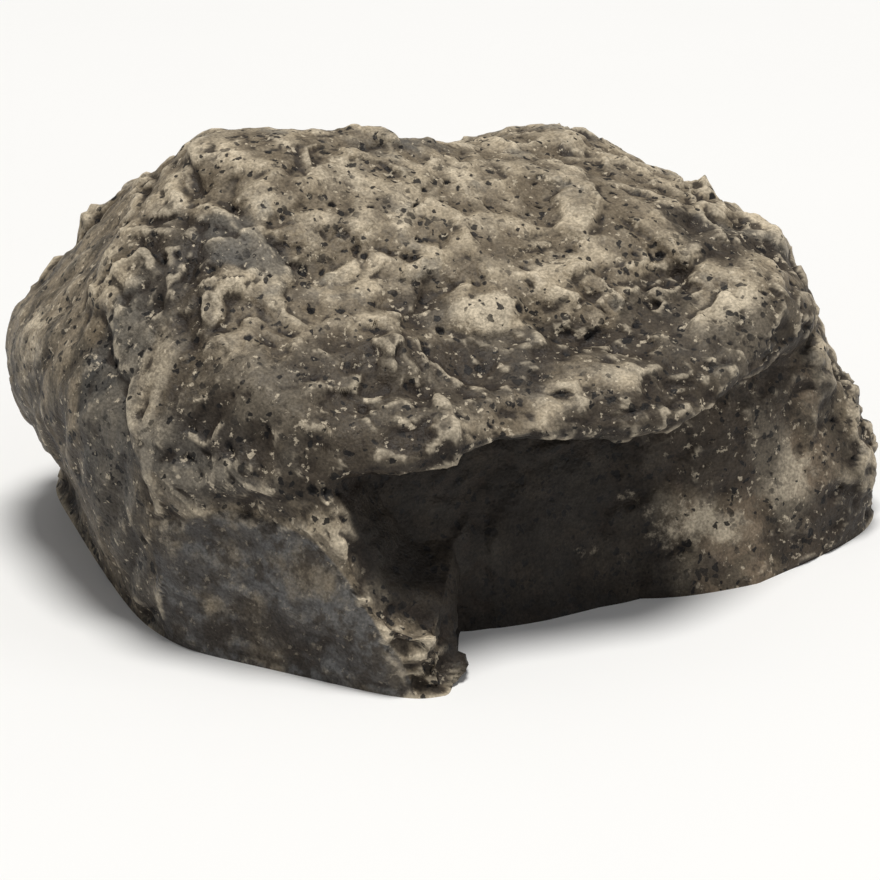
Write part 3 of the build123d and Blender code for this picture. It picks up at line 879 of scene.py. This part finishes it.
def stone_material():
    """Cast stone: beige and buff clouds with taupe mottling, cream on what stands up and umber in
    what lies low (partly drybrush and dark wash, partly painted highlight and painted shade), black
    grains and pits, painted cream glints, and zones washed in their own colours, the hollow's wall
    and the dark places partly as painted shade."""
    made, tree, shader, place = new_material("speckled_stone")
    names = ("ridge", "crevice", "high", "under", "pit", "end", "foot", "wall", "scoop", "lip",
             "pale", "dark", "grey")
    mask = {name: put(tree, "Attribute", attribute_name=name).outputs["Fac"] for name in names}
    mask["low"] = inverse(tree, mask["high"])
    edge_noise = noise(tree, place, EDGE_SCALE, 7.0, 0.72).outputs[0]

    def stain(name, stretch=(1, 1, 1), turn=None):
        """One of the stains, on turned and stretched coordinates."""
        shift, size, level, soft = STAINS[name]
        start = place
        if turn is not None:
            start = put(tree, "Mapping", {"Vector": place, "Rotation": turn}).outputs[0]
        return placed(tree, STAIN, Place=shifted(tree, start, shift, stretch), Size=size,
                      Level=level, Soft=soft)

    def covered(colour, name, where, coat):
        """The colour under one of the paints."""
        return washed(tree, colour, where, COVER[name], coat)

    def zoned(colour, name, coat):
        """The colour under the paint of a zone with a broken edge."""
        where = broken(tree, mask[name], edge_noise, BREAK_UP[name])
        return covered(colour, name, where, coat)

    colour = mixed(tree, stain("buff_clouds"), BUFF, BEIGE)
    for name, patch in (("cream_patches", CREAM), ("mottling", TAUPE), ("slate_patches", SLATE)):
        colour = covered(colour, name, stain(name), patch)
    # Cream where the stone stands high and umber where it lies low: partly drybrush and dark wash,
    # partly painted highlight and painted shade
    colour = zoned(colour, "high", CREAM)
    colour = zoned(colour, "low", TAUPE)

    end = mixed(tree, stain("end_streaks", END_STRETCH), END_DARK, END_PALE)
    colour = zoned(colour, "end", end)
    foot = mixed(tree, stain("foot_clouds"), FOOT_GREY, FOOT_BEIGE)
    foot = covered(foot, "foot_mottling", stain("foot_mottling"), UMBER)
    colour = zoned(colour, "foot", foot)
    scoop = mixed(tree, stain("scoop_clouds"), SCOOP, TAUPE)
    scoop = covered(scoop, "strokes", stain("strokes", STROKE_STRETCH, STROKE_TURN), STROKE)
    colour = zoned(colour, "scoop", scoop)
    # The hollow's wall is washed near-black: partly the stone's dark paint, partly painted shade
    cave = mixed(tree, stain("cave_clouds"), CAVE, CAVE_PALE)
    dark_paint_and_shade = times(tree, mask["wall"], inverse(tree, mask["scoop"]))
    colour = covered(colour, "cave", dark_paint_and_shade, cave)
    mask["pale"] = times(tree, mask["pale"], PALE_THINNING)
    # Umber on the dark places and on what faces down is partly the stone's paint, partly painted
    # shade
    for name, patch in (("lip", LIP), ("pale", CREAM), ("grey", SLATE), ("dark", UMBER),
                        ("under", UMBER)):
        colour = zoned(colour, name, patch)

    # Cream on the ridges and umber in the crevices: partly drybrush and dark wash, partly painted
    # highlight and painted shade; the cream stays off the hollow's dark wall
    lit = inverse(tree, dark_paint_and_shade)
    ridge = times(tree, spread(tree, mask["ridge"], 0.25, 0.95), lit)
    colour = covered(colour, "ridge", ridge, CREAM)
    colour = covered(colour, "crevice", spread(tree, mask["crevice"], 0.10, 0.6), UMBER)
    quiet = inverse(tree, times(tree, mask["foot"], FOOT_QUIET))
    dots = black_grains(tree, place, stain("clusters"), mask["high"])
    dots = times(tree, dots, quiet)
    colour = covered(colour, "dots", dots, SOOT)
    colour = covered(colour, "pit", spread(tree, mask["pit"], 0.10, 0.45), SOOT)
    # Painted highlights: small cream glints, kept off the hollow's wall and quieter on the foot
    painted_glints = times(tree, times(tree, stain("painted_glints"), lit), quiet)
    colour = covered(colour, "painted_glints", painted_glints, CREAM)
    grit = noise(tree, place, GRIT_SCALE, 2.0).outputs[0]
    tint = spread(tree, grit, 0.3, 0.7, *GRIT_SHADES)
    tinted = put(tree, "VectorMath", {0: colour, "Scale": tint}, operation="SCALE")
    tree.links.new(tinted.outputs[0], shader.inputs["Base Color"])

    tree.links.new(spread(tree, stain("gloss"), 0, 1, *STONE_ROUGHNESS), shader.inputs["Roughness"])
    fine = placed(tree, GRAIN, Place=place, Size=0.0007)
    bump = put(tree, "Bump", {"Height": fine, "Strength": 0.8, "Distance": 0.0004})
    sink = put(tree, "Bump", {"Height": dots, "Strength": 0.3, "Distance": 0.0003,
                              "Normal": bump.outputs[0]}, invert=True)
    tree.links.new(sink.outputs[0], shader.inputs["Normal"])
    shader.inputs["Specular IOR Level"].default_value = STONE_SPECULAR
    return made


SCUFF_STRETCH = (0.3, 1, 1)
DUST = (0.20, 0.18, 0.15, 1)
FOAM_SKIN = (0.045, 0.045, 0.048, 1)
FOAM_BUBBLE = (0.018, 0.018, 0.02, 1)
TRAY_BLACK = (0.028, 0.028, 0.030, 1)
TRAY_WORN = (0.09, 0.09, 0.09, 1)
LID_BLACK = (0.035, 0.035, 0.037, 1)
LID_WORN = (0.11, 0.11, 0.11, 1)
STEEL = (0.62, 0.62, 0.63, 1)
BRASS = (0.78, 0.58, 0.28, 1)
TARNISH_SHADE = 0.7


def plastic_material(name, colour, worn, roughness, size):
    """Moulded plastic: one colour with paler scuffs and a fine grain."""
    made, tree, shader, place = new_material(name)
    scuffs = placed(tree, STAIN, Place=shifted(tree, place, (0, 0, 0), SCUFF_STRETCH), Size=0.004,
                    Level=0.62, Soft=0.1)
    dust = placed(tree, STAIN, Place=shifted(tree, place, (0.2, 0.1, 0)), Size=0.012, Level=0.55,
                  Soft=0.15)
    tint = washed(tree, colour, scuffs, 0.5, worn)
    tint = washed(tree, tint, dust, 0.25, DUST)
    tree.links.new(tint, shader.inputs["Base Color"])
    tree.links.new(spread(tree, dust, 0, 1, roughness, roughness + 0.2), shader.inputs["Roughness"])
    grain = placed(tree, GRAIN, Place=place, Size=size)
    bump = put(tree, "Bump", {"Height": grain, "Strength": 0.35, "Distance": 0.00008})
    tree.links.new(bump.outputs[0], shader.inputs["Normal"])
    return made


def foam_material():
    """Closed-cell foam: dark, with small open bubbles."""
    made, tree, shader, place = new_material("foam")
    bubbles = placed(tree, SPECKLE, Place=place, Warp=(0, 0, 0), Size=0.0008, Share=0.8,
                     Radius=0.5)
    tint = mixed(tree, bubbles, FOAM_SKIN, FOAM_BUBBLE)
    tree.links.new(tint, shader.inputs["Base Color"])
    shader.inputs["Roughness"].default_value = 0.92
    bump = put(tree, "Bump", {"Height": bubbles, "Strength": 0.7, "Distance": 0.0003},
               invert=True)
    tree.links.new(bump.outputs[0], shader.inputs["Normal"])
    return made


def metal_material(name, colour, roughness):
    """Turned or plated metal with faint uneven polish."""
    made, tree, shader, place = new_material(name)
    tarnish = placed(tree, STAIN, Place=place, Size=0.0015, Level=0.5, Soft=0.2)
    dull = tuple(TARNISH_SHADE * part for part in colour[:3]) + (1,)
    tree.links.new(mixed(tree, tarnish, colour, dull), shader.inputs["Base Color"])
    tree.links.new(spread(tree, tarnish, 0, 1, roughness, roughness + 0.15),
                   shader.inputs["Roughness"])
    shader.inputs["Metallic"].default_value = 1.0
    return made


# ---- the pieces

BOX_MARGIN = 0.8 * MM
BASE_FADE = 0.8 * MM
STONE_SHARP_ANGLE = 60
NEAR_REACH = 2
WIDE_REACH = 9
RIDGE_HEIGHT = 0.25
CREVICE_DEPTH = 0.30
HIGH_RANGE = 1.2
UNDER_FADE = (-0.35, 0.5)


def fitted(points, low, high):
    """Points moved and stretched so that they fill a box."""
    lowest, highest = points.reshape(-1, 3).min(0), points.reshape(-1, 3).max(0)
    low, high = np.array(low), np.array(high)
    return low + (points - lowest) / (highest - lowest) * (high - low)


def held_inside(points, low, high):
    """Points kept inside a box: past the margin's start they come ever slower towards its side, by
    one less the exponential."""
    low, high = np.array(low) + BOX_MARGIN, np.array(high) - BOX_MARGIN
    over, under = np.maximum(points - high, 0), np.maximum(low - points, 0)
    under[..., 2] = 0
    moved = points - over + under
    return moved + BOX_MARGIN * (np.exp(-under / BOX_MARGIN) - np.exp(-over / BOX_MARGIN))


def stone():
    """The stone's skin, its pocket cut out, and the values that its material reads."""
    bearing, rise = skin_grid()
    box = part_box("rock_body")
    points = fitted(drawn_point(bearing, rise), *box)
    zone = zones(bearing, rise)
    height, holes = relief(points / MM, zone, direction(bearing, rise))
    height = height * smooth(points[..., 2], 0.0, BASE_FADE)
    raised = points + grid_normals(points) * height[..., None] * MM
    raised = held_inside(raised, *box)
    raised[..., 2] = np.maximum(raised[..., 2], 0.0)
    raised[-1, :, 2] = 0.0
    vertices, faces = closed_skin(raised)
    piece = new_piece("stone_skin", vertices, faces)
    near, wide = blurred(height, NEAR_REACH), blurred(height, WIDE_REACH)
    local = height - near
    # Ridges and high places drive cream, crevices and low places drive umber: partly the stone's
    # paint, partly painted highlight and painted shade
    values = {"ridge": np.clip(local / RIDGE_HEIGHT, 0, 1),
              "crevice": np.clip(-local / CREVICE_DEPTH, 0, 1),
              "high": np.clip(0.5 + (near - wide) / HIGH_RANGE, 0, 1),
              # Faces that turn down get umber: partly the stone's paint, partly painted shade
              "under": smooth(-grid_normals(raised)[..., 2], *UNDER_FADE), "pit": holes, **zone}
    for name, field in values.items():
        paint(piece.data, name, np.concatenate([field[0, :1], field[1:].ravel()]))
    cut_pocket(piece)
    shaded(piece, STONE_SHARP_ANGLE, stone_material())
    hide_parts("rock_body")
    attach(piece, "rock")


PAD_CORNER = 4.5 * MM
PAD_LEAST_CORNER = 0.05 * MM
PAD_EDGE = 0.9 * MM
PAD_CROWN = 0.35 * MM
PAD_MIDDLE = 0.3 * MM
PAD_EDGE_STEPS = 5
PAD_STEPS = 16
PAD_SIDE = 0.8
PAD_TOP_EDGE = 0.15 * MM
PAD_UNEVEN = 0.12 * MM
PAD_LOWEST = 0.2
PAD_SHARP_ANGLE = 50


def pad_outline(low, high, inset):
    """Outline of the pad drawn in by an inset, its corners kept as round as they can be."""
    corner = max(PAD_CORNER - inset, PAD_LEAST_CORNER)
    return rounded_outline((low[0] + inset, low[1] + inset), (high[0] - inset, high[1] - inset),
                           corner)


def foam_pad():
    """The pad on the tub's ceiling, as level outlines drawn in by an inset: a quarter circle at its
    edge, an underside raised by the cube of one less the inset's share, and soft noise on it."""
    low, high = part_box("foam_pad")
    thick = high.z - low.z
    half_width = (high.y - low.y) / 2
    turn = np.linspace(0, np.pi / 2, PAD_EDGE_STEPS)
    edge = PAD_EDGE * (1 - np.sin(turn))
    reach = np.linspace(PAD_EDGE, half_width - PAD_MIDDLE, PAD_STEPS)
    under_inset = np.concatenate([reach[:0:-1], edge])
    crown = PAD_CROWN * (1 - under_inset / half_width) ** 3
    under_level = low.z + crown + np.concatenate([np.zeros(PAD_STEPS - 1),
                                                  PAD_EDGE * (1 - np.cos(turn))])
    insets = np.concatenate([under_inset, [0.0], [PAD_TOP_EDGE], reach])
    levels = np.concatenate([under_level, [low.z + PAD_SIDE * thick], [high.z],
                             np.full(PAD_STEPS, high.z)])
    count = 4 * CORNER_STEPS
    points = np.stack([np.column_stack([pad_outline(low, high, inset), np.full(count, level)])
                       for inset, level in zip(insets, levels)])
    uneven = soft_noise(points / MM, 3.0, 201) + 0.6 * soft_noise(points / MM, 1.2, 202)
    underside = points[..., 2] < low.z + 0.5 * thick
    sunk = np.maximum(uneven, -PAD_LOWEST) + PAD_LOWEST
    points[..., 2] += PAD_UNEVEN * sunk * underside
    piece = new_piece("anti_rattle_pad", points.reshape(-1, 3), ring_faces(count, len(points)))
    shaded(piece, PAD_SHARP_ANGLE, foam_material())
    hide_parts("foam_pad")
    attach(piece, "rock")


def dress_nodes():
    """Materials for the CAD nodes that stay in sight."""
    finishes = {
        "key_tray": plastic_material("tray_plastic", TRAY_BLACK, TRAY_WORN, 0.42, 0.0006),
        "sliding_lid": plastic_material("lid_plastic", LID_BLACK, LID_WORN, 0.38, 0.0005),
        "tray_screws": metal_material("plated_steel", STEEL, 0.28),
        "screw_inserts": metal_material("turned_brass", BRASS, 0.30),
    }
    for node, finish in finishes.items():
        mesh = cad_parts[node].data
        mesh.materials.clear()
        mesh.materials.append(finish)


# ---- floor, light and camera

CAMERA_BEARING = -25.0
CAMERA_RISE = 22.0
CAMERA_DISTANCE = 0.420
CAMERA_HEART = Vector((-0.00151, 0.00090, 0.020))
CAMERA_AIM = Vector((-0.00341, -0.00175, 0.01206))
PHOTO_SIDE = 880
PIXELS_PER_MM = 9.4
SENSOR_WIDTH = 36.0
CLIP_START = 0.01
FLOOR_SIDE = 4.0
FLOOR_SHADES = ((0.86, 0.86, 0.86, 1), (0.88, 0.88, 0.88, 1))
LIGHT_AIM = (0, 0, 0.02)
WORLD_COLOUR = (1.0, 1.0, 1.0, 1)
WORLD_STRENGTH = 0.26


def floor():
    """A wide pale sheet that the stone stands on."""
    side = FLOOR_SIDE
    corners = [(-side, -side, 0), (side, -side, 0), (side, side, 0), (-side, side, 0)]
    sheet = new_piece("floor", corners, [(0, 1, 2, 3)])
    made, tree, shader, place = new_material("pale_floor")
    cloud = placed(tree, STAIN, Place=place, Size=0.2, Level=0.5, Soft=0.3)
    tree.links.new(mixed(tree, cloud, *FLOOR_SHADES), shader.inputs["Base Color"])
    shader.inputs["Roughness"].default_value = 0.9
    sheet.data.materials.append(made)


def aimed(name, data, place, aim):
    """A light or camera at a place, turned towards its aim."""
    holder = bpy.data.objects.new(name, data)
    holder.location = place
    holder.rotation_euler = (Vector(aim) - Vector(place)).to_track_quat("-Z", "Y").to_euler()
    bpy.context.scene.collection.objects.link(holder)
    return holder


def soft_light(name, place, size, power, colour):
    """A round soft light at a place in metres, turned towards the stone."""
    lamp = bpy.data.lights.new(name, "AREA")
    lamp.shape = "DISK"
    lamp.size = size
    lamp.energy = power
    lamp.color = colour
    aimed(name, lamp, place, LIGHT_AIM)


def lights():
    """A wide light overhead, a weak one from the right, and an even surround."""
    soft_light("key_light", (0.0, -0.12, 2.0), 0.70, 35.0, (1.0, 0.985, 0.95))
    soft_light("right_light", (1.5, -1.1, 1.0), 0.90, 4.0, (0.96, 0.98, 1.0))
    world = bpy.data.worlds.new("studio")
    world.use_nodes = True
    surround = world.node_tree.nodes["Background"]
    surround.inputs["Color"].default_value = WORLD_COLOUR
    surround.inputs["Strength"].default_value = WORLD_STRENGTH
    bpy.context.scene.world = world
    bpy.context.scene.view_settings.view_transform = "Standard"


def camera():
    """Stands where the photograph was taken from, and looks at the middle of its frame."""
    bearing, rise = np.radians(CAMERA_BEARING), np.radians(CAMERA_RISE)
    away = Vector((np.sin(bearing) * np.cos(rise), -np.cos(bearing) * np.cos(rise), np.sin(rise)))
    lens = bpy.data.cameras.new("camera")
    lens.sensor_width = SENSOR_WIDTH
    lens.lens = PIXELS_PER_MM / MM * CAMERA_DISTANCE / PHOTO_SIDE * SENSOR_WIDTH
    lens.clip_start = CLIP_START
    place = CAMERA_HEART + away * CAMERA_DISTANCE
    bpy.context.scene.camera = aimed("camera", lens, place, CAMERA_AIM)


stone()
foam_pad()
dress_nodes()
floor()
lights()
camera()
